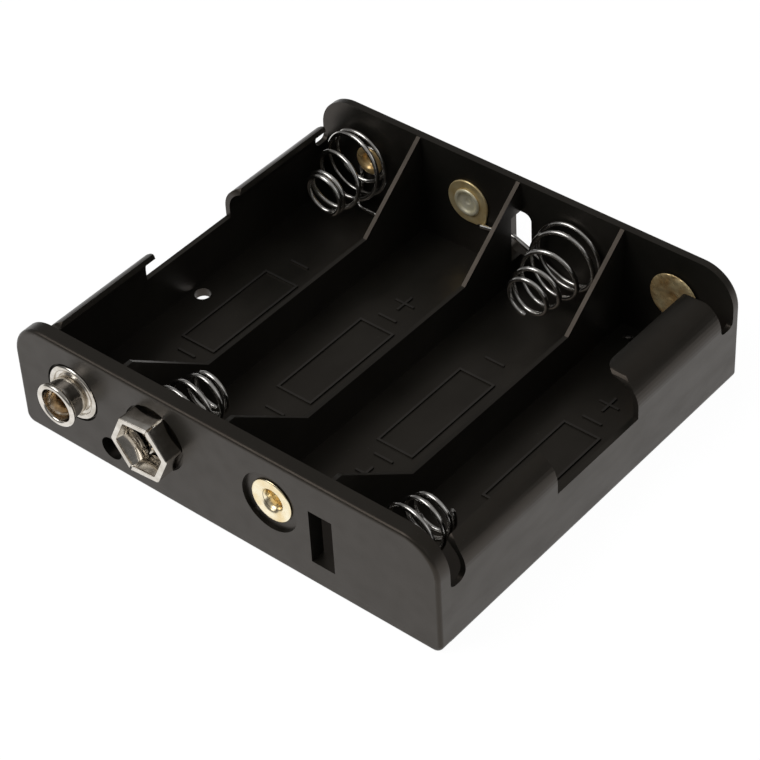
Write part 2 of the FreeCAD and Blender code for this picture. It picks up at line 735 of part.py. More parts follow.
def make_disc_rivet():
    # large low disc, the fourth cell's plus contact, over the end loop of the long wire
    return rivet("rivet_four", (FOURTH_X, BACK_INNER, CONTACT), "(wire_diameter - loop_recess)", TAIL,
                 "disc_radius", "disc_crown", "tail_radius", "(wire_diameter - loop_recess)")


def spiral(wall, way, sense, stops):
    # points every 20 degrees between stops of (angle, radius, depth off the wall, centre across, centre up)
    points = []
    for first, last in zip(stops, stops[1:]):
        steps = max(round(abs(last[0] - first[0]) / 20), 2)
        for index in range(1 if points else 0, steps + 1):
            part = index / steps
            angle, radius, depth, across, up = (a + (b - a) * part for a, b in zip(first, last))
            turn = math.radians(angle)
            points.append(FreeCAD.Vector(across + sense * radius * math.cos(turn), wall + way * depth,
                                         up + radius * math.sin(turn)))
    return points


def coil_stops(start, shape, base, tip, reach="coil_length"):
    # base and tip are the coil's centres (across, up) at its two ends
    wide, narrow, length = (value(name) for name in ("coil_base_radius", "coil_tip_radius", reach))
    lowest = value("wire_diameter / 2")
    stops = []
    for turns, share, depth in shape:
        across, up = (a + (b - a) * share for a, b in zip(base, tip))
        stops.append((start + 360 * turns, wide + (narrow - wide) * share, max(length * depth, lowest), across, up))
    return stops


def loop_stops(centre, base):
    # clamped loop round a rivet, then over its own tail and out to the foot of the coil
    flat, over = value("wire_diameter / 2"), value("coil_length") * RAISED_COIL[0][2]
    loop, wide = value(LOOP), value("coil_base_radius")
    clear = value("clamp_radius + wire_diameter / 2 + 2 * fit_gap")
    return [(0, loop, flat, *centre), (160, loop, flat, *centre), (230, clear, flat, *centre),
            (290, (clear + wide) / 2, over, *centre), (420, wide, over, *base)]


def way_points(corners, reach=0.9):
    # straight runs with each inner corner eased by a quadratic curve
    corners = [FreeCAD.Vector(*corner) for corner in corners]
    points = [corners[0]]
    for index in range(1, len(corners)):
        start, end = points[-1], corners[index]
        last = index == len(corners) - 1
        heading = (end - start).normalize()
        stop = end if last else end - heading * min(reach, (end - start).Length * 0.45)
        steps = max(int((stop - start).Length / 1.2), 1)
        points += [start + (stop - start) * (count / steps) for count in range(1, steps + 1)]
        if last:
            break
        onward = corners[index + 1] - end
        leave = end + onward * min(reach / onward.Length, 0.45)
        for part in (0.25, 0.5, 0.75, 1.0):
            points.append(stop * (1 - part) ** 2 + end * (2 * part * (1 - part)) + leave * part ** 2)
    return points


def bent_wire(label, *runs):
    # round wire swept along a smooth curve through the runs, each of which starts where the last one ends
    points = runs[0] + [point for run in runs[1:] for point in run[1:]]
    spine = Part.BSplineCurve()
    spine.interpolate(points)
    start = spine.value(spine.FirstParameter)
    heading = spine.tangent(spine.FirstParameter)[0]
    section = Part.Wire(Part.Circle(start, heading, value("wire_diameter") / 2).toShape())
    sweep = Part.BRepOffsetAPI.MakePipeShell(Part.Wire(spine.toShape()))
    sweep.setBiNormalMode(FreeCAD.Vector(0, 1, 0))
    sweep.add(section, False, False)
    sweep.build()
    sweep.makeSolid()
    piece = doc.addObject("Part::Feature", label)
    piece.Label = label
    piece.Shape = sweep.shape()
    return piece


def make_first_spring():
    # spring of the first cell; its wire runs on under the floor and ends round the fourth cell's rivet
    half = value("wire_diameter / 2")
    wall, channel, loop = value(BACK_INNER), value(CHANNEL_Y), value(LOOP)
    centre, target = (value(FIRST_X), value(f"{CONTACT} - first_drop")), (value(FOURTH_X), value(CONTACT))
    base = (centre[0] - 1.4, centre[1] - 0.5)
    sunk, edge = wall - half + value("loop_recess"), value("disc_radius") + half
    floor, under = value("floor_thickness") + half, value("channel_depth - fit_gap") - half
    left, right = value(CHANNEL_LEFT), value(CHANNEL_RIGHT)
    hook = spiral(sunk + half, -1, -1, [(250, loop, half, *target), (0, loop, half, *target)])
    run = way_points([
        (target[0] - loop, sunk, target[1]),
        (target[0] - loop, sunk, target[1] - edge),
        (target[0] - loop, wall - half, target[1] - edge - 2 * half),
        (right + 1.5, wall - half, floor + 1.6),
        (right + 0.7, channel, floor),
        (right - 0.7, channel, under),
        (left + 0.8, channel, under),
        (left - 0.8, channel, floor),
        (centre[0] - loop, channel, floor),
        (centre[0] - loop, wall - half, floor + 2.0),
        (centre[0] - loop, wall - half, centre[1]),
    ])
    coil = spiral(wall, -1, -1, loop_stops(centre, base) + coil_stops(420, BUNCHED_COIL, base, centre)[1:])
    return bent_wire("spring_one", hook, run, coil)


def make_second_spring():
    # spring of the second cell, clamped by the socket's rivet
    centre = (value(HEX_X), value(CONTACT))
    stops = loop_stops(centre, centre) + coil_stops(420, RAISED_COIL, centre, centre, "front_coil_length")[1:]
    return bent_wire("spring_two", spiral(value(FRONT_INNER), 1, 1, stops))


def make_third_spring():
    # spring of the third cell; its wire leaves the base turn and passes the notch to the tab's point
    half, wide = value("wire_diameter / 2"), value("coil_base_radius")
    wall, height = value(BACK_INNER), value(CONTACT)
    base = (value(THIRD_X) + 0.35, height - 0.7)
    tip = (value(THIRD_X) + 0.8, height - 0.95)
    start = 245
    heading = (-math.sin(math.radians(start)), math.cos(math.radians(start)))
    foot = (base[0] + wide * heading[1], base[1] - wide * heading[0])
    over = value("sheet_thickness") + half
    tab = (value(f"{SECOND_X} + tab_point_x") - 0.7, height - value("tab_point_z") + 0.35)
    bend = value("slot_shift - slot_width / 2") + 0.7
    run = way_points([
        (tab[0], wall - over, tab[1]),
        (bend, wall - over, foot[1] - heading[1] * (foot[0] - bend) / heading[0]),
        (foot[0], wall - half, foot[1]),
    ])
    coil = spiral(wall, -1, 1, coil_stops(start, LATE_COIL, base, tip))
    return bent_wire("spring_three", run, coil)


def make_fourth_spring():
    # front spring of the fourth cell; its wire passes the notch and ends round the third cell's eyelet
    half, wide, loop = value("wire_diameter / 2"), value("coil_base_radius"), value(LOOP)
    wall, height = value(FRONT_INNER), value(CONTACT)
    centre, target = (value(FOURTH_X), height), (value(THIRD_X), height)
    hook = spiral(wall, 1, 1, [(360, loop, half, *target), (90, loop, half, *target)])
    run = way_points([
        (target[0], wall + half, height + loop),
        (centre[0] - wide, wall + half, height + loop),
        (centre[0] - wide, wall + half, height),
    ])
    coil = spiral(wall, 1, 1, coil_stops(180, EVEN_COIL, centre, centre, "front_coil_length"))
    return bent_wire("spring_four", hook, run, coil)


def export(pieces):
    doc.recompute()
    for item in doc.Objects:
        if "Invalid" in item.State or "Error" in item.State:
            raise ValueError(f"{item.Label} did not recompute: {item.State}")
    os.makedirs("parts", exist_ok=True)
    for piece in pieces:
        if piece.Shape.isNull() or not piece.Shape.isValid():
            raise ValueError(f"{piece.Label} has no valid shape")
        piece.Shape.exportStep(f"parts/{piece.Label}.step")
        box = piece.Shape.BoundBox
        print(piece.Label, round(piece.Shape.Volume, 2), len(piece.Shape.Solids),
              [round(number, 2) for number in (box.XMin, box.XMax, box.YMin, box.YMax, box.ZMin, box.ZMax)])


fill_sheet()
export([
    make_holder(),
    make_stud(),
    make_stud_rivet(),
    make_hex(),
    make_hex_rivet(),
    make_front_eyelet(),
    make_first_eyelet(),
    make_tab(),
    make_tab_eyelet(),
    make_disc_rivet(),
    make_first_spring(),
    make_second_spring(),
    make_third_spring(),
    make_fourth_spring(),
])
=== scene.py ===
import bmesh
import bpy
import numpy as np
from math import cos, pi, radians, sin
from mathutils import Matrix, Vector


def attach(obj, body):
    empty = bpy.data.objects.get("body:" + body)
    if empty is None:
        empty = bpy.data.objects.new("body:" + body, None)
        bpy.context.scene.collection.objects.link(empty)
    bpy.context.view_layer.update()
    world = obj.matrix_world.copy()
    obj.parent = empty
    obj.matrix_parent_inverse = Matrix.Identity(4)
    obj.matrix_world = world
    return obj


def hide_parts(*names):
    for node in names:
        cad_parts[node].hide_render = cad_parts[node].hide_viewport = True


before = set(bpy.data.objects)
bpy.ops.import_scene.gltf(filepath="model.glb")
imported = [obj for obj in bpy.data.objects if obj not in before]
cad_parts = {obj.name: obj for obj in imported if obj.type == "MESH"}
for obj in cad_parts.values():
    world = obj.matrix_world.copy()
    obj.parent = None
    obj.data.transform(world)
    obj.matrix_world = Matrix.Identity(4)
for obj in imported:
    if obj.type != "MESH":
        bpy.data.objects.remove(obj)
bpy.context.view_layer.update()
print("frame loaded with", len(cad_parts), "nodes")

mm = 0.001
layout = {
    "pitch": 15.3,            # from one cell's axis to the next
    "frontOuter": -27.85,
    "frontInner": -25.85,
    "backInner": 26.65,
    "contactHeight": 9.0,
    "firstHeight": 8.7,
    "studX": -22.2,
    "hexX": -9.5,
}


def startMaterial(name):
    # an empty node material with its output, shader and object coordinates
    material = bpy.data.materials.new(name)
    material.use_nodes = True
    tree = material.node_tree
    tree.nodes.clear()
    output = tree.nodes.new("ShaderNodeOutputMaterial")
    shader = tree.nodes.new("ShaderNodeBsdfPrincipled")
    place = tree.nodes.new("ShaderNodeTexCoord")
    tree.links.new(shader.outputs["BSDF"], output.inputs["Surface"])
    return material, tree, shader, place.outputs["Object"]


def addNoise(tree, place, scale, detail=3.0, stretch=None):
    # noise of the given frequency per metre, stretched along an axis where asked
    noise = tree.nodes.new("ShaderNodeTexNoise")
    noise.inputs["Scale"].default_value = scale
    noise.inputs["Detail"].default_value = detail
    if stretch:
        mapping = tree.nodes.new("ShaderNodeMapping")
        mapping.inputs["Scale"].default_value = stretch
        tree.links.new(place, mapping.inputs["Vector"])
        place = mapping.outputs["Vector"]
    tree.links.new(place, noise.inputs["Vector"])
    return noise.outputs["Fac"]


def addRamp(tree, source, stops):
    # colour ramp through (position, colour) stops
    ramp = tree.nodes.new("ShaderNodeValToRGB")
    while len(ramp.color_ramp.elements) < len(stops):
        ramp.color_ramp.elements.new(0.5)
    for element, (position, colour) in zip(ramp.color_ramp.elements, stops):
        element.position = position
        element.color = (*colour, 1.0)
    tree.links.new(source, ramp.inputs["Fac"])
    return ramp.outputs["Color"]


def addRange(tree, source, low, high, fromLow=0.3, fromHigh=0.7):
    # the source's middle spread over low to high
    spread = tree.nodes.new("ShaderNodeMapRange")
    for name, number in (("From Min", fromLow), ("From Max", fromHigh), ("To Min", low), ("To Max", high)):
        spread.inputs[name].default_value = number
    tree.links.new(source, spread.inputs["Value"])
    return spread.outputs["Result"]


def addBump(tree, shader, heights):
    # chain of bumps from (height source, strength, distance in metres)
    normal = None
    for source, strength, distance in heights:
        bump = tree.nodes.new("ShaderNodeBump")
        bump.inputs["Strength"].default_value = strength
        bump.inputs["Distance"].default_value = distance
        tree.links.new(source, bump.inputs["Height"])
        if normal:
            tree.links.new(normal, bump.inputs["Normal"])
        normal = bump.outputs["Normal"]
    tree.links.new(normal, shader.inputs["Normal"])


def mixColours(tree, fraction, first, second):
    mix = tree.nodes.new("ShaderNodeMix")
    mix.data_type = "RGBA"
    for source, socket in ((fraction, mix.inputs[0]), (first, mix.inputs[6]), (second, mix.inputs[7])):
        if isinstance(source, tuple):
            socket.default_value = (*source, 1.0)
        else:
            tree.links.new(source, socket)
    return mix.outputs[2]


plasticFinish = {
    "dark": (0.0110, 0.0106, 0.0088),
    "light": (0.0165, 0.0158, 0.0132),
    "dust": (0.060, 0.057, 0.050),
    "mark": (0.030, 0.029, 0.027),
    "tint": (1.0, 0.83, 0.69),
    "roughLow": 0.30,
    "roughHigh": 0.42,
    "grainScale": 2600.0,
    "grainDepth": 0.00001,
    "flowDepth": 0.00006,
    "specular": 0.45,
    "mottleScale": 160.0,
    "speckScale": 1900.0,
    "wearScale": 420.0,
    # lighter tone painted on the raised marks' tops as their highlight
    "flowScale": 70.0,
    "markTop": 0.0014,        # height of the raised floor marks
    "markPlay": 0.00002,
}


def markMask(tree, place):
    # one on the tops of the raised floor marks, found by their height; their lighter tone is a painted
    # highlight
    split = tree.nodes.new("ShaderNodeSeparateXYZ")
    tree.links.new(place, split.inputs["Vector"])
    near = tree.nodes.new("ShaderNodeMath")
    near.operation = "COMPARE"
    near.inputs[1].default_value = plasticFinish["markTop"]
    near.inputs[2].default_value = plasticFinish["markPlay"]
    tree.links.new(split.outputs["Z"], near.inputs[0])
    return near.outputs[0]


def makePlastic():
    # injection-moulded black: slow mottling, sparse pale specks, fine grain, slight flow waves and a painted
    # highlight on the raised marks' tops
    finish = plasticFinish
    material, tree, shader, place = startMaterial("mouldedBlack")
    mottle = addNoise(tree, place, finish["mottleScale"], 4.0)
    tone = addRamp(tree, mottle, [(0.35, finish["dark"]), (0.7, finish["light"])])
    specks = addNoise(tree, place, finish["speckScale"], 2.0)
    speckMask = addRange(tree, specks, 0.0, 0.5, 0.74, 0.8)
    tone = mixColours(tree, speckMask, tone, finish["dust"])
    # painted highlight: the raised marks' tops are lighter, standing in for the light their ridges catch
    tone = mixColours(tree, markMask(tree, place), tone, finish["mark"])
    tree.links.new(tone, shader.inputs["Base Color"])
    shader.inputs["Specular Tint"].default_value = (*finish["tint"], 1.0)
    wear = addNoise(tree, place, finish["wearScale"], 5.0, (1.0, 0.35, 1.0))
    tree.links.new(addRange(tree, wear, finish["roughLow"], finish["roughHigh"]), shader.inputs["Roughness"])
    shader.inputs["Specular IOR Level"].default_value = finish["specular"]
    grain = addNoise(tree, place, finish["grainScale"], 3.0)
    flow = addNoise(tree, place, finish["flowScale"], 2.0, (1.0, 0.4, 1.0))
    addBump(tree, shader, [(flow, 0.5, finish["flowDepth"]), (grain, 0.35, finish["grainDepth"])])
    return material


metalFinish = {
    "driftScale": 700.0,
    "stainScale": 900.0,
    "polishScale": 1500.0,
    "scratchScale": 2200.0,
    "scratchDepth": 0.00002,
    "dentScale": 1100.0,
    "dentDepth": 0.00025,
}


def makeMetal(name, dark, light, roughLow, roughHigh, scratch=0.15, stain=None, dents=0.0, metallic=1.0):
    # plated or rolled metal: tone that drifts, uneven polish, fine scratches and a little tarnish
    finish = metalFinish
    material, tree, shader, place = startMaterial(name)
    drift = addNoise(tree, place, finish["driftScale"], 3.0)
    tone = addRamp(tree, drift, [(0.3, dark), (0.7, light)])
    if stain:
        patches = addNoise(tree, place, finish["stainScale"], 5.0)
        tone = mixColours(tree, addRange(tree, patches, 0.0, 0.65, 0.55, 0.72), tone, stain)
    tree.links.new(tone, shader.inputs["Base Color"])
    shader.inputs["Metallic"].default_value = metallic
    polish = addNoise(tree, place, finish["polishScale"], 4.0)
    tree.links.new(addRange(tree, polish, roughLow, roughHigh), shader.inputs["Roughness"])
    lines = addNoise(tree, place, finish["scratchScale"], 3.0, (1.0, 1.0, 0.15))
    heights = [(lines, scratch, finish["scratchDepth"])]
    if dents:
        heights.append((addNoise(tree, place, finish["dentScale"], 1.0), dents, finish["dentDepth"]))
    addBump(tree, shader, heights)
    return material


print("making materials")
plastic = makePlastic()
nickel = makeMetal("nickelPlate", (0.52, 0.48, 0.42), (0.78, 0.74, 0.68), 0.10, 0.22)
springMetal = makeMetal("springWire", (0.55, 0.53, 0.50), (0.78, 0.76, 0.73), 0.13, 0.25, 0.1)
paleBrass = makeMetal("paleBrass", (0.90, 0.82, 0.55), (1.0, 0.95, 0.75), 0.3, 0.45, metallic=0.45)
tabBrass = makeMetal("tabBrass", (0.78, 0.58, 0.26), (0.98, 0.82, 0.48), 0.3, 0.45, metallic=0.6)
goldBrass = makeMetal("goldBrass", (0.72, 0.46, 0.18), (0.98, 0.74, 0.38), 0.25, 0.4, metallic=0.7)
creamBrass = makeMetal("creamBrass", (0.84, 0.66, 0.36), (0.98, 0.90, 0.68), 0.16, 0.3)
hammeredBrass = makeMetal("hammeredBrass", (0.70, 0.44, 0.18), (1.0, 0.82, 0.46), 0.22, 0.4,
                          dents=1.0, metallic=0.6)
dullBrass = makeMetal("dullBrass", (0.48, 0.32, 0.16), (0.66, 0.48, 0.28), 0.25, 0.4, 0.2, (0.30, 0.18, 0.09))


def putMesh(name, points, faces, material, smoothAngle=40.0):
    # points in millimetres become a smooth-shaded piece at the origin that rides on the row's body
    mesh = bpy.data.meshes.new(name)
    mesh.from_pydata((points * mm).tolist(), [], faces)
    mesh.validate()
    piece = bpy.data.objects.new(name, mesh)
    bpy.context.scene.collection.objects.link(piece)
    shapes = bmesh.new()
    shapes.from_mesh(mesh)
    bmesh.ops.recalc_face_normals(shapes, faces=shapes.faces)
    shapes.to_mesh(mesh)
    shapes.free()
    smooth(mesh, smoothAngle)
    mesh.materials.append(material)
    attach(piece, "root")
    return piece


def smooth(mesh, angle):
    mesh.polygons.foreach_set("use_smooth", np.ones(len(mesh.polygons), bool))
    mesh.set_sharp_from_angle(angle=radians(angle))


def gridFaces(rows, columns, closedRows, closedColumns, first=0):
    # quads (i, j) (i, j+1) (i+1, j+1) (i+1, j) over a grid whose rows or columns may wrap round
    rowNumbers = np.arange(rows - (not closedRows))
    columnNumbers = np.arange(columns - (not closedColumns))
    i, j = np.meshgrid(rowNumbers, columnNumbers, indexing="ij")
    down, right = (i + 1) % rows, (j + 1) % columns
    corners = np.stack([i * columns + j, i * columns + right,
                        down * columns + right, down * columns + j], axis=-1)
    return (corners.reshape(-1, 4) + first).tolist()


def ringSolid(rings, closedAlong=False):
    # rings (n, m, 3) each closed round m; the two end rings are filled unless the rings close on themselves
    rows, columns = rings.shape[:2]
    faces = gridFaces(rows, columns, closedAlong, True)
    if not closedAlong:
        faces.append(list(range(columns))[::-1])
        faces.append(list(range((rows - 1) * columns, rows * columns)))
    return rings.reshape(-1, 3), faces


def joined(parts):
    # several (points, faces) as one
    points, faces, count = [], [], 0
    for somePoints, someFaces in parts:
        points.append(somePoints)
        faces += [[corner + count for corner in face] for face in someFaces]
        count += len(somePoints)
    return np.concatenate(points), faces


def easeCorners(points, reach, closed=True, steps=5):
    # each corner P becomes the curve (1-t)^2 A + 2t(1-t) P + t^2 B, with A and B on its two sides
    points = np.asarray(points, float)
    reach = np.broadcast_to(np.asarray(reach, float), len(points))[:, None]
    before, after = np.roll(points, 1, axis=0), np.roll(points, -1, axis=0)
    sideA, sideB = before - points, after - points
    lengthA = np.linalg.norm(sideA, axis=1, keepdims=True) + 1e-9
    lengthB = np.linalg.norm(sideB, axis=1, keepdims=True) + 1e-9
    most = 0.48        # of a side, so that its two rounded corners never meet
    start = points + sideA / lengthA * np.minimum(reach, lengthA * most)
    end = points + sideB / lengthB * np.minimum(reach, lengthB * most)
    t = np.linspace(0, 1, steps)[None, :, None]
    curve = (1 - t) ** 2 * start[:, None] + 2 * t * (1 - t) * points[:, None] + t ** 2 * end[:, None]
    if closed:
        return curve.reshape(-1, points.shape[1])
    middle = curve[1:-1].reshape(-1, points.shape[1])
    return np.concatenate([points[:1], middle, points[-1:]])


def standOff(points, acrossX, wallY, upZ):
    # local (x, y, z) with z out of the wall becomes (acrossX + x, wallY - z, upZ + y)
    return np.stack([acrossX + points[..., 0], wallY - points[..., 2], upZ + points[..., 1]], axis=-1)


def lathe(profile, sides=96):
    # profile (radius, height) turned about the local z: (r cos a, r sin a, h)
    angles = np.linspace(0, 2 * pi, sides, endpoint=False)
    radius, height = profile[:, 0, None], profile[:, 1, None]
    return np.stack([radius * np.cos(angles), radius * np.sin(angles), height + 0 * angles], axis=-1)


def turned(name, corners, reach, centre, material, node):
    # a solid turned piece from a rounded profile that starts and ends just off its axis
    profile = easeCorners(corners, reach, False)
    points, faces = ringSolid(lathe(profile))
    piece = putMesh(name, standOff(points, *centre), faces, material)
    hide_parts(node)
    return piece


def resample(path, spacing):
    # the same line with points at equal steps along it
    steps = np.linalg.norm(np.diff(path, axis=0), axis=1)
    travel = np.concatenate([[0], np.cumsum(steps)])
    count = max(int(travel[-1] / spacing), 8)
    where = np.linspace(0, travel[-1], count)
    return np.stack([np.interp(where, travel, path[:, axis]) for axis in range(3)], axis=-1)


def relax(path, width=7):
    # moving average along the line, its two ends kept
    pad = width // 2
    held = np.concatenate([np.repeat(path[:1], pad, axis=0), path, np.repeat(path[-1:], pad, axis=0)])
    kernel = np.ones(width) / width
    eased = np.stack([np.convolve(held[:, axis], kernel, "valid") for axis in range(3)], axis=-1)
    eased[0], eased[-1] = path[0], path[-1]
    return eased


wireShape = {
    "step": 0.55,             # shares of the wire's radius
    "endSize": 0.72,
    "endGrowth": 0.28,
    "endRings": 2,
}


def wireSolid(path, radius, sides=14):
    # circle carried along the path: side = tangent x Y, up = side x tangent, with rounded cut ends
    shape = wireShape
    path = relax(resample(path, radius * shape["step"]))
    tangent = np.gradient(path, axis=0)
    tangent /= np.linalg.norm(tangent, axis=1, keepdims=True)
    side = np.cross(tangent, [0.0, 1.0, 0.0])
    side /= np.linalg.norm(side, axis=1, keepdims=True)
    up = np.cross(side, tangent)
    angles = np.linspace(0, 2 * pi, sides, endpoint=False)
    count = np.arange(len(path))
    fromEnd = np.minimum(count, count[::-1])
    growth = shape["endSize"] + shape["endGrowth"] * fromEnd / shape["endRings"]
    scale = np.clip(growth, 0, 1)[:, None, None] * radius
    ring = np.cos(angles)[None, :, None] * side[:, None] + np.sin(angles)[None, :, None] * up[:, None]
    return ringSolid(path[:, None] + ring * scale)


copying = {
    "merge": 0.000002,        # in metres; the angles are in degrees
    "flatAngle": 0.8,
    "smoothAngle": 30.0,
    "bevelAngle": 38,
}


def finishedCopy(node, name, bevel, material):
    # a copy of a CAD node with its triangles merged, flat faces joined and edges eased
    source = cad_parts[node]
    mesh = source.data.copy()
    mesh.name = name
    shapes = bmesh.new()
    shapes.from_mesh(mesh)
    bmesh.ops.remove_doubles(shapes, verts=shapes.verts, dist=copying["merge"])
    flat = radians(copying["flatAngle"])
    bmesh.ops.dissolve_limit(shapes, angle_limit=flat, verts=shapes.verts, edges=shapes.edges)
    shapes.to_mesh(mesh)
    shapes.free()
    mesh.materials.clear()
    mesh.materials.append(material)
    smooth(mesh, copying["smoothAngle"])
    piece = bpy.data.objects.new(name, mesh)
    bpy.context.scene.collection.objects.link(piece)
    ease = piece.modifiers.new("easedEdges", "BEVEL")
    ease.width = bevel
    ease.segments = 2
    ease.limit_method = "ANGLE"
    ease.angle_limit = radians(copying["bevelAngle"])
    ease.use_clamp_overlap = True
    weigh = piece.modifiers.new("flatFaces", "WEIGHTED_NORMAL")
    weigh.weight = 100
    weigh.keep_sharp = True
    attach(piece, "root")
    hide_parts(node)
    return piece


print("making the holder")
finishedCopy("holder_body", "holderBody", 0.00009, plastic)


stud = {
    "flange": 3.62,
    "neck": 2.45,
    "rim": 2.87,
    "bead": 0.36,
    "height": 3.0,
    "sheet": 0.3,
    "seat": -0.5,
    "rivetHole": 1.4,
    "fillet": 0.12,
    "boreEdge": 0.9,
}


def bead(centreX, centreZ, radius, first, last, count=9):
    # part of a circle in the half section: (x + r cos a, z + r sin a)
    angle = np.radians(np.linspace(first, last, count))
    return np.stack([centreX + radius * np.cos(angle), centreZ + radius * np.sin(angle)], axis=-1)


def makeStud():
    # closed profile: base plate, beaded flange, valley, neck, beaded rim, then down the bore
    s = stud
    seat, plate, b = s["seat"], s["seat"] + s["sheet"], s["bead"]
    bore, hole, fillet = s["rim"] - 2 * b, s["rivetHole"], s["fillet"]
    profile = np.concatenate([
        [(hole, seat)],
        bead(s["flange"] - b, seat + b, b, -90, 165, 17),
        [(s["flange"] - 2 * b, plate + 0.05), (s["neck"] + fillet, plate), (s["neck"], plate + fillet)],
        [(s["neck"], s["height"] - b - 0.4)],
        bead(s["rim"] - b, s["height"] - b, b, -75, 180, 17),
        [(bore, s["height"] - s["boreEdge"]), (bore - 0.02, plate + 0.3), (bore - 0.3, plate), (hole, plate)],
    ])
    centre = (layout["studX"], layout["frontOuter"], layout["contactHeight"])
    points, faces = ringSolid(lathe(profile), True)
    piece = putMesh("studSnap", standOff(points, *centre), faces, nickel)
    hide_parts("stud_snap")
    rivet = [
        (0.02, -2.0), (0.85, -1.9), (0.9, -0.3), (1.15, -0.06), (1.5, 0.08), (1.88, 0.0),
        (1.95, -0.12), (1.92, -0.2), (1.35, -0.2),
        (1.35, -2.0), (2.6, -2.0), (2.6, -2.3), (1.6, -2.68), (0.02, -2.8),
    ]
    turned("studRivet", rivet, 0.1, centre, dullBrass, "stud_rivet")


socket = {
    "corner": 4.34,
    "height": 2.6,
    "seat": -0.55,
    "sheet": 0.3,
    "lip": 0.68,
    "slit": 0.16,
    "bend": 0.26,
    "turn": 5.0,
    "cornerSteps": 7,
    "floorReach": 1.9,
    "leafSheet": 0.2,
    "leafOut": 0.1,
    "leafTop": 0.16,
    "leafShort": 0.75,
    "leafTaper": 0.25,
    "leafCurve": 0.62,
    "leafCrown": 0.18,
    "leaves": (               # turn in degrees, width, reach inward, twist
        (150, 3.6, 0.55, 0.0), (210, 3.8, 0.75, 0.25), (330, 3.7, 0.7, -0.2),
        (30, 3.5, 0.5, 0.0), (90, 3.3, 0.35, 0.0), (270, 3.4, 0.45, 0.0),
    ),
}


def hexRun(apothem, first, last, bend, cut):
    # the hexagon's outline from its first to its last corner, eased between them and cut short at both ends
    angles = np.radians(60.0 * np.arange(first, last + 1))
    corners = np.stack([np.cos(angles), np.sin(angles)], axis=-1) * apothem / cos(pi / 6)
    ends = [(0, 1), (-1, -2)]
    for end, neighbour in ends:
        way = corners[neighbour] - corners[end]
        corners[end] = corners[end] + way / np.linalg.norm(way) * cut
    return easeCorners(corners, bend, False, socket["cornerSteps"])


def hexShell(profile, first, last, bend, cut):
    # the sheet's section (apothem, height) carried along the hexagon's outline
    count = socket["cornerSteps"] * (last - first - 1) + 2
    rows = [np.column_stack([hexRun(apothem, first, last, bend, cut), np.full(count, height)])
            for apothem, height in profile]
    return ringSolid(np.stack(rows, axis=1))


def leaf(turn, width, reach, twist):
    # gripping leaf: a curved tongue that leans inward; u along the side, v from the lip to the base
    s = socket
    flat = s["corner"] * cos(pi / 6)
    u = np.linspace(-1, 1, 15)[:, None]
    v = np.linspace(0, 1, 17)[None, :]
    half = width / 2 * (1 - s["leafTaper"] * v ** 2)
    inward = (flat - s["lip"] + s["leafOut"]
              - reach * np.sin(v * pi * s["leafCurve"]) * (1 - s["leafCrown"] * u ** 2))
    height = s["height"] - s["leafTop"] - v * (s["height"] - s["seat"] - s["leafShort"])
    along = half * u + twist * v
    layers = []
    for lift in (0.0, s["leafSheet"]):
        layers.append(np.stack([inward + lift + 0 * u, along + 0 * v, height + 0 * u], axis=-1))
    count = layers[0].shape[0] * layers[0].shape[1]
    rows, columns = layers[0].shape[:2]
    index = np.arange(count).reshape(rows, columns)
    rim = np.concatenate([index[0, :-1], index[:-1, -1], index[-1, :0:-1], index[:0:-1, 0]])
    after = np.roll(rim, -1)
    sides = np.stack([rim, after, after + count, rim + count], axis=-1).tolist()
    faces = gridFaces(rows, columns, False, False) + gridFaces(rows, columns, False, False, count) + sides
    points = np.concatenate([layer.reshape(-1, 3) for layer in layers])
    return spun(points, turn), faces


def spun(points, degrees):
    # (x cos a - y sin a, x sin a + y cos a, z)
    angle = radians(degrees)
    return np.stack([points[:, 0] * cos(angle) - points[:, 1] * sin(angle),
                     points[:, 0] * sin(angle) + points[:, 1] * cos(angle), points[:, 2]], axis=-1)


def makeSocket():
    # two folded shells that meet at the slit corners, a floor plate and the inner leaves
    s = socket
    flat = s["corner"] * cos(pi / 6)
    inner, top = flat - s["sheet"], s["height"]
    profile = easeCorners([
        (flat, s["seat"]), (flat, top), (flat - s["lip"], top), (flat - s["lip"], top - s["sheet"]),
        (inner, top - s["sheet"]), (inner, s["seat"] + s["sheet"]),
        (inner - s["floorReach"], s["seat"] + s["sheet"]), (inner - s["floorReach"], s["seat"]),
    ], (0.12, 0.16, 0.1, 0.1, 0.05, 0.1, 0.1, 0.1))
    parts = [hexShell(profile, 1, 4, s["bend"], s["slit"]), hexShell(profile, 4, 7, s["bend"], s["slit"])]
    parts += [leaf(*numbers) for numbers in s["leaves"]]
    points, faces = joined(parts)
    centre = (layout["hexX"], layout["frontOuter"], layout["contactHeight"])
    points = standOff(spun(points, s["turn"]), *centre)
    piece = putMesh("hexSocket", points, faces, nickel)
    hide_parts("hex_snap")
    rivet = [
        (0.02, -2.6), (0.85, -2.5), (0.9, -0.4), (1.15, -0.12), (1.5, 0.02), (1.88, -0.08), (1.95, -0.18),
        (1.92, -0.25), (1.35, -0.25), (1.35, -2.6), (2.1, -2.6), (2.1, -2.78), (1.9, -2.88), (0.02, -2.88),
    ]
    turned("hexRivet", rivet, 0.08, centre, nickel, "hex_rivet")


print("making the snaps")
makeStud()
makeSocket()


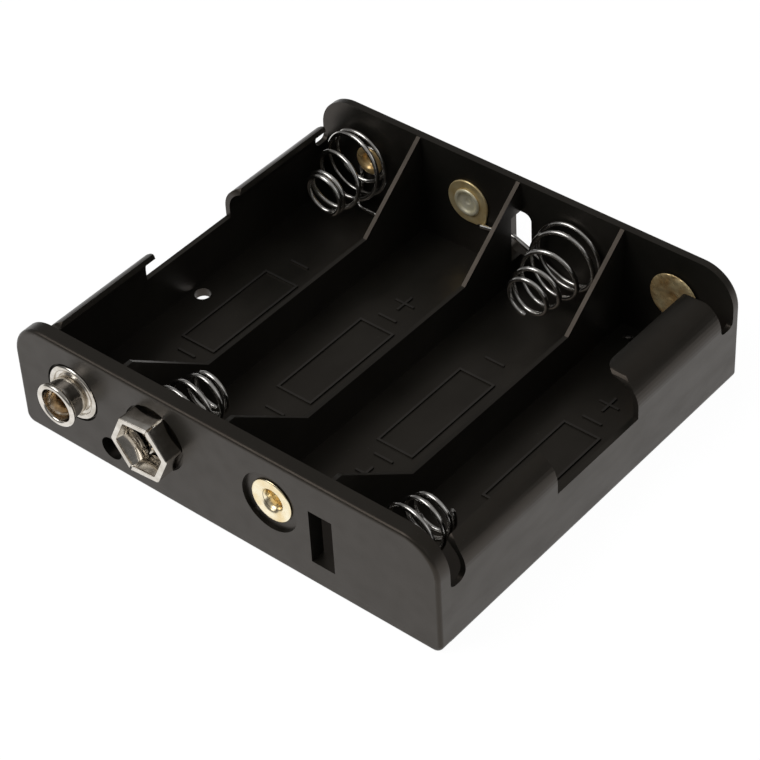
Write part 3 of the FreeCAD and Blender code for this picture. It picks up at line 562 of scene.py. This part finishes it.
def makeFixings():
    # each fixing is a half section of (radius, height above the wall), turned round its own axis
    pitch, height = layout["pitch"], layout["contactHeight"]
    front, back = layout["frontOuter"], layout["backInner"]
    firstPlace = (-1.5 * pitch, back, layout["firstHeight"])
    eyelet = [
        (0.02, -2.2), (0.95, -2.1), (1.05, -1.3), (1.25, -0.75), (1.5, -0.4), (1.72, -0.24), (2.0, -0.18),
        (2.45, -0.17), (2.76, -0.22), (2.87, -0.34), (2.85, -0.45), (2.75, -0.5), (1.35, -0.5), (1.35, -2.6),
        (2.6, -2.6), (2.6, -2.88), (1.6, -3.26), (0.02, -3.38),
    ]
    turned("eyeletThree", eyelet, 0.18, (pitch / 2, front, height), creamBrass, "eyelet_three")
    small = [
        (0.02, 0.14), (0.8, 0.16), (0.95, 0.5), (1.15, 0.82), (1.45, 0.97), (1.8, 0.92),
        (1.98, 0.78), (2.0, 0.62), (1.35, 0.6),
        (1.35, -0.8), (2.2, -0.8), (2.2, -0.98), (2.0, -1.08), (0.02, -1.08),
    ]
    turned("eyeletOne", small, 0.14, firstPlace, goldBrass, "eyelet_one")
    dished = [
        (0.02, 0.1), (0.3, 0.14), (0.45, 0.24), (0.85, 0.27), (1.2, 0.36), (1.48, 0.58),
        (1.7, 0.61), (1.88, 0.5), (1.92, 0.36),
        (1.35, 0.3), (1.35, -0.8), (2.2, -0.8), (2.2, -0.98), (2.0, -1.08), (0.02, -1.08),
    ]
    turned("eyeletTwo", dished, 0.1, (-pitch / 2, back, height), paleBrass, "eyelet_two")
    disc = [
        (0.02, 0.28), (0.3, 0.27), (0.45, 0.3), (0.9, 0.46), (1.6, 0.54), (2.3, 0.56), (2.9, 0.52),
        (3.25, 0.42), (3.34, 0.32), (3.3, 0.26), (1.35, 0.25), (1.35, -0.8), (2.2, -0.8),
        (2.2, -0.98), (2.0, -1.08), (0.02, -1.08),
    ]
    turned("discFour", disc, 0.16, (1.5 * pitch, back, height), hammeredBrass, "rivet_four")
    finishedCopy("tab_two", "tabTwo", 0.00013, tabBrass)


print("making the fixings")
makeFixings()


spring = {
    "wire": 0.3,
    "loop": 1.7,
    "clear": 2.5,
    "base": 4.45,
    "tip": 2.6,
    "length": 9.3,
    "frontLength": 7.6,
    "even": ((0, 0, 0.03), (0.5, 0.05, 0.07), (1, 0.2, 0.21), (2, 0.5, 0.54), (3, 0.8, 0.83), (4, 1, 0.98),
             (4.6, 1, 1.04)),
    "late": ((0, 0, 0.03), (0.57, 0, 0.05), (1.57, 0.1, 0.22), (2.57, 0.45, 0.555), (3.57, 0.8, 0.845),
             (4.57, 1, 1.03), (5.07, 1, 1.05)),
    "raised": ((0, 0, 0.11), (1, 0.2, 0.25), (2, 0.5, 0.54), (3, 0.8, 0.83), (4, 1, 0.98), (4.6, 1, 1.04)),
    "bunched": ((0, 0, 0.11), (1, 0, 0.18), (2, 0.4, 0.54), (3, 0.9, 0.92), (4.5, 1, 1.04)),
    "loopEnd": 420,           # degrees from a loop's start to its coil's foot
}


links = {
    "ease": 0.9,              # how far the corners of every link run are rounded
    "channelY": 24.9,
    "floorZ": 1.5,
    "underZ": 0.4,
    "dips": (-17.2, 18.2),    # where the first wire goes through the floor
    "ramps": (0.8, 0.7),      # half the length of each dip
    "rises": (2.0, 1.6),      # how high it meets the back wall at its two ends
    "riseShift": 1.5,
    "sink": 0.35,
    "discEdge": 3.66,
    "firstLean": (-1.4, -0.5),
    "thirdLeans": ((0.35, -0.7), (0.8, -0.95)),
    "thirdStart": 245,
    "thirdBend": -0.6,
    "tabSheet": 0.3,
    "tabPoint": (2.57, -2.93),
    "tabEnd": (-0.7, 0.35),
}


def spiral(wallY, way, sense, stops):
    # stops are (angle, radius, depth, centre x, centre z), each changing evenly with the angle between stops
    stops = np.array(stops, float)
    order = 1 if stops[-1, 0] >= stops[0, 0] else -1
    angle = np.arange(stops[0, 0], stops[-1, 0] + order, 4.0 * order)
    radius, depth, x, z = (np.interp(order * angle, order * stops[:, 0], stops[:, item])
                           for item in (1, 2, 3, 4))
    turn = np.radians(angle)
    across, up = x + sense * radius * np.cos(turn), z + radius * np.sin(turn)
    return np.stack([across, wallY + way * depth, up], axis=-1)


def coilStops(start, shape, base, tip, reach="length"):
    # radius, depth and centre go from the base's to the tip's by each stop's shares
    s = spring
    base, tip = np.array(base), np.array(tip)
    return [(start + 360 * turns, s["base"] + (s["tip"] - s["base"]) * share,
             max(s[reach] * depth, s["wire"]), *(base + (tip - base) * share))
            for turns, share, depth in s[shape]]


def loopStops(centre, base):
    # clamped loop round a rivet, then over its own tail and out to the foot of the coil
    s = spring
    wire, loop, clear, wide = s["wire"], s["loop"], s["clear"], s["base"]
    over = s["length"] * s["raised"][0][2]
    return [(0, loop, wire, *centre), (160, loop, wire, *centre), (230, clear, wire, *centre),
            (290, (clear + wide) / 2, over, *centre), (s["loopEnd"], wide, over, *base)]


def makeSprings():
    # each wire is its link run, its base loop and its coil, one after the other
    s, pitch, height = spring, layout["pitch"], layout["contactHeight"]
    wire, loop, wide = s["wire"], s["loop"], s["base"]
    back, front = layout["backInner"], layout["frontInner"]

    # the first wire: round the disc, down the back wall, under the floor, up again and into its coil
    channel, floorZ, underZ = links["channelY"], links["floorZ"], links["underZ"]
    left, right = links["dips"]
    leftRamp, rightRamp = links["ramps"]
    leftRise, rightRise = links["rises"]
    centre, target = (-1.5 * pitch, layout["firstHeight"]), (1.5 * pitch, height)
    base = (centre[0] + links["firstLean"][0], centre[1] + links["firstLean"][1])
    sunk, edge = back - wire + links["sink"], links["discEdge"]
    hook = spiral(sunk + wire, -1, -1, [(250, loop, wire, *target), (0, loop, wire, *target)])
    run = easeCorners([
        (target[0] - loop, sunk, height), (target[0] - loop, sunk, height - edge),
        (target[0] - loop, back - wire, height - edge - 2 * wire),
        (right + links["riseShift"], back - wire, floorZ + rightRise),
        (right + rightRamp, channel, floorZ), (right - rightRamp, channel, underZ),
        (left + leftRamp, channel, underZ), (left - leftRamp, channel, floorZ),
        (centre[0] - loop, channel, floorZ), (centre[0] - loop, back - wire, floorZ + leftRise),
        (centre[0] - loop, back - wire, centre[1]),
    ], links["ease"], False)
    stops = loopStops(centre, base) + coilStops(s["loopEnd"], "bunched", base, centre)[1:]
    coil = spiral(back, -1, -1, stops)
    placeWire("springOne", [hook, run, coil], "spring_one")

    # the second wire: a loop behind the socket and its coil
    centre = (layout["hexX"], height)
    coilPart = coilStops(s["loopEnd"], "raised", centre, centre, "frontLength")
    coil = spiral(front, 1, 1, loopStops(centre, centre) + coilPart[1:])
    placeWire("springTwo", [coil], "spring_two")

    # the third wire: from the tab through the partition's gap, meeting its coil along the tangent
    base, tip = ((pitch / 2 + x, height + z) for x, z in links["thirdLeans"])
    start = radians(links["thirdStart"])
    foot = (base[0] + wide * cos(start), base[1] + wide * sin(start))
    over, bend = links["tabSheet"] + wire, links["thirdBend"]
    away = (foot[0] - bend) / -sin(start)
    tab = (-pitch / 2 + links["tabPoint"][0], height + links["tabPoint"][1])
    run = easeCorners([
        (tab[0] + links["tabEnd"][0], back - over, tab[1] + links["tabEnd"][1]),
        (bend, back - over, foot[1] - cos(start) * away), (foot[0], back - wire, foot[1]),
    ], links["ease"], False)
    coil = spiral(back, -1, 1, coilStops(links["thirdStart"], "late", base, tip))
    placeWire("springThree", [run, coil], "spring_three")

    # the fourth wire: round the large eyelet, along the front wall and into its coil
    centre, target = (1.5 * pitch, height), (pitch / 2, height)
    hook = spiral(front, 1, 1, [(360, loop, wire, *target), (90, loop, wire, *target)])
    run = easeCorners([
        (target[0], front + wire, height + loop), (centre[0] - wide, front + wire, height + loop),
        (centre[0] - wide, front + wire, height),
    ], links["ease"], False)
    coil = spiral(front, 1, 1, coilStops(180, "even", centre, centre, "frontLength"))
    placeWire("springFour", [hook, run, coil], "spring_four")


def placeWire(name, runs, node):
    # the runs meet end to start, so each later one drops its first point
    path = np.concatenate([runs[0]] + [run[1:] for run in runs[1:]])
    points, faces = wireSolid(path, spring["wire"])
    piece = putMesh(name, points, faces, springMetal)
    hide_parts(node)


print("making the springs")
makeSprings()


studio = {
    "worldTones": ((0.0, 0.70), (0.06, 0.38), (0.25, 0.15), (0.5, 0.18), (0.7, 0.42), (1.0, 0.36)),
    "worldStrength": 0.8,
    "tableHalf": 1.2,
    "tableTone": (0.86, 0.86, 0.86, 1),
    "floorGlow": 0.86,
    "glowStrength": 1.12,
    "key": ((-0.25, -0.30, 0.45), 0.35, 1.0),        # place, size, power
    "fill": ((0.45, 0.05, 0.35), 0.30, 0.12),
}


def makeWorld():
    # grey by the direction's height: pale at the horizon, dark above it, mid grey overhead
    # the camera itself sees white
    world = bpy.data.worlds.new("studioWorld")
    bpy.context.scene.world = world
    world.use_nodes = True
    tree = world.node_tree
    tree.nodes.clear()
    output = tree.nodes.new("ShaderNodeOutputWorld")
    place = tree.nodes.new("ShaderNodeTexCoord")
    split = tree.nodes.new("ShaderNodeSeparateXYZ")
    tree.links.new(place.outputs["Generated"], split.inputs["Vector"])
    tone = addRamp(tree, split.outputs["Z"], [(height, (grey,) * 3) for height, grey in studio["worldTones"]])
    light = tree.nodes.new("ShaderNodeBackground")
    tree.links.new(tone, light.inputs["Color"])
    light.inputs["Strength"].default_value = studio["worldStrength"]
    seen = tree.nodes.new("ShaderNodeBackground")
    seen.inputs["Color"].default_value = (1, 1, 1, 1)
    mix = tree.nodes.new("ShaderNodeMixShader")
    path = tree.nodes.new("ShaderNodeLightPath")
    tree.links.new(path.outputs["Is Camera Ray"], mix.inputs["Fac"])
    tree.links.new(light.outputs["Background"], mix.inputs[1])
    tree.links.new(seen.outputs["Background"], mix.inputs[2])
    tree.links.new(mix.outputs["Shader"], output.inputs["Surface"])


def makeFloor():
    # white table that glows for the camera and for reflections, and still takes the shadow
    half = studio["tableHalf"]
    corners = [(-half, -half, 0), (half, -half, 0), (half, half, 0), (-half, half, 0)]
    mesh = bpy.data.meshes.new("table")
    mesh.from_pydata(corners, [], [(0, 1, 2, 3)])
    table = bpy.data.objects.new("table", mesh)
    bpy.context.scene.collection.objects.link(table)
    material = bpy.data.materials.new("whiteTable")
    material.use_nodes = True
    tree = material.node_tree
    tree.nodes.clear()
    output = tree.nodes.new("ShaderNodeOutputMaterial")
    matte = tree.nodes.new("ShaderNodeBsdfDiffuse")
    matte.inputs["Color"].default_value = studio["tableTone"]
    glow = tree.nodes.new("ShaderNodeEmission")
    glow.inputs["Strength"].default_value = studio["glowStrength"]
    path = tree.nodes.new("ShaderNodeLightPath")
    either = tree.nodes.new("ShaderNodeMath")
    either.operation = "MAXIMUM"
    tree.links.new(path.outputs["Is Camera Ray"], either.inputs[0])
    tree.links.new(path.outputs["Is Glossy Ray"], either.inputs[1])
    share = tree.nodes.new("ShaderNodeMath")
    share.operation = "MULTIPLY"
    share.inputs[1].default_value = studio["floorGlow"]
    tree.links.new(either.outputs[0], share.inputs[0])
    mix = tree.nodes.new("ShaderNodeMixShader")
    tree.links.new(share.outputs[0], mix.inputs["Fac"])
    tree.links.new(matte.outputs["BSDF"], mix.inputs[1])
    tree.links.new(glow.outputs["Emission"], mix.inputs[2])
    tree.links.new(mix.outputs["Shader"], output.inputs["Surface"])
    mesh.materials.append(material)


def makeLamp(name, place, size, power):
    # square area lamp aimed at the object
    data = bpy.data.lights.new(name, "AREA")
    data.shape = "SQUARE"
    data.size = size
    data.energy = power
    lamp = bpy.data.objects.new(name, data)
    bpy.context.scene.collection.objects.link(lamp)
    lamp.location = place
    lamp.rotation_mode = "QUATERNION"
    lamp.rotation_quaternion = Vector(place).to_track_quat("Z", "Y")


photoCamera = {
    "place": (0.15914, -0.17766, 0.21493),
    "azimuth": 41.880,
    "elevation": 41.651,
    "roll": -3.4916,
    "lens": 129.211,
    "clip": (0.01, 10.0),
}


def makeCamera():
    # axes from azimuth and elevation, then turned by the roll about the line of sight
    p = photoCamera
    a, e, r = (radians(p[key]) for key in ("azimuth", "elevation", "roll"))
    back = Vector((sin(a) * cos(e), -cos(a) * cos(e), sin(e)))
    right = Vector((0, 0, 1)).cross(back).normalized()
    up = back.cross(right)
    rolledRight = right * cos(r) + up * sin(r)
    rolledUp = up * cos(r) - right * sin(r)
    data = bpy.data.cameras.new("photoCamera")
    data.lens = p["lens"]
    data.clip_start, data.clip_end = p["clip"]
    camera = bpy.data.objects.new("photoCamera", data)
    bpy.context.scene.collection.objects.link(camera)
    turn = Matrix((rolledRight, rolledUp, back)).transposed().to_4x4()
    camera.matrix_world = Matrix.Translation(p["place"]) @ turn
    bpy.context.scene.camera = camera


print("making the studio")
makeWorld()
makeFloor()
makeLamp("keyLamp", *studio["key"])
makeLamp("fillLamp", *studio["fill"])
makeCamera()
bpy.context.scene.view_settings.view_transform = "Standard"
